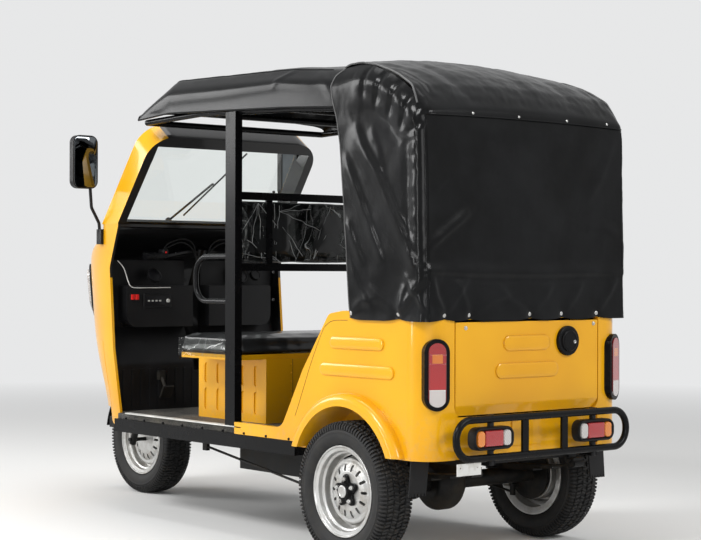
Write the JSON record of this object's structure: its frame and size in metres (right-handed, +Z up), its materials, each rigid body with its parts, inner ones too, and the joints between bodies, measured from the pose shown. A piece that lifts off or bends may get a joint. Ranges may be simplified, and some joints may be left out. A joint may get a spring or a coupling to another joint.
{
  "type": "three-wheeled passenger rickshaw",
  "caption": "Three-wheeled passenger rickshaw with a painted body, cloth canopy, open cab, steering fork, pressed steel wheels and a lifting rear lid.",
  "frame": {"origin": "on the road under the middle of the vehicle's overall box", "axes": "+X to the driver's left, +Y to the rear, +Z up; the nose points to -Y"},
  "size_m": [1.26, 2.8846, 1.868],
  "materials": {
    "painted_body": "gloss yellow paint",
    "black_steel": "satin black paint",
    "motor": "black painted casting",
    "battery_case": "satin black paint",
    "floor_sheet": "black mat over sheet steel",
    "dark_plastic": "moulded black plastic",
    "handlebar_black": "black bar with rubber grips",
    "clear_glass": "clear",
    "clear_lens": "clear moulded lens",
    "red_lens": "red, amber and clear moulded lens",
    "lamp_block": "black case with coloured lenses",
    "canopy_vinyl": "glossy coated cloth",
    "seat_vinyl": "black vinyl under clear film",
    "rubber_flap": "matt",
    "tyre_rubber": "matt black",
    "silver_wheel": "silver paint",
    "blank_plate": "plain white"
  },
  "bodies": {
    "root": {"chassis_frame": "black_steel", "floor_pan": "floor_sheet", "sills": "black_steel", "battery_box": "battery_case", "front_cowl": "painted_body", "dashboard": "dark_plastic", "windshield_frame": "painted_body", "windshield": "clear_glass", "wiper": "dark_plastic", "headlamp_housings": "dark_plastic", "headlamp_lenses": "clear_lens", "mirrors": "dark_plastic", "roof_frame": "black_steel", "roof_cover_front": "canopy_vinyl", "roof_cover_rear": "canopy_vinyl", "rear_curtain": "canopy_vinyl", "seat_box": "painted_body", "driver_cushion": "seat_vinyl", "backrest_frame": "black_steel", "driver_backrest": "seat_vinyl", "armrests": "black_steel", "rear_body": "painted_body", "passenger_seat_base": "black_steel", "passenger_cushion": "seat_vinyl", "passenger_backrest": "seat_vinyl", "tail_lamp_bezels": "dark_plastic", "tail_lamp_lenses": "red_lens", "bumper": "black_steel", "bumper_lamps": "lamp_block", "rear_plate": "blank_plate", "mud_flaps": "rubber_flap", "rear_axle": "black_steel", "drive_motor": "motor", "leaf_springs": "black_steel", "foot_brake": "black_steel"},
    "steering": {"front_fork": "black_steel", "front_mudguard": "dark_plastic", "handlebar": "handlebar_black"},
    "front_wheel": {"front_tyre": "tyre_rubber", "front_wheel": "silver_wheel"},
    "rear_left_wheel": {"rear_left_tyre": "tyre_rubber", "rear_left_wheel": "silver_wheel"},
    "rear_right_wheel": {"rear_right_tyre": "tyre_rubber", "rear_right_wheel": "silver_wheel"},
    "tailgate": {"tailgate": "painted_body", "lock_cap": "dark_plastic"}
  },
  "joints": [
    {"name": "steering", "type": "hinge", "parent": "root", "child": "steering", "pos_m": [0, -1.1695, 0.254], "axis": [0, 0.4226, 0.9063], "range_deg": [-35, 35]},
    {"name": "front_wheel_spin", "type": "hinge", "parent": "steering", "child": "front_wheel", "pos_m": [0, -1.1695, 0.254], "axis": [1, 0, 0], "continuous": true},
    {"name": "rear_left_spin", "type": "hinge", "parent": "root", "child": "rear_left_wheel", "pos_m": [0.48, 0.9405, 0.254], "axis": [1, 0, 0], "continuous": true},
    {"name": "rear_right_spin", "type": "hinge", "parent": "root", "child": "rear_right_wheel", "pos_m": [-0.48, 0.9405, 0.254], "axis": [1, 0, 0], "continuous": true},
    {"name": "tailgate_hinge", "type": "hinge", "parent": "root", "child": "tailgate", "pos_m": [0, 1.3425, 0.862], "axis": [1, 0, 0], "range_deg": [0, 65]}
  ]
}
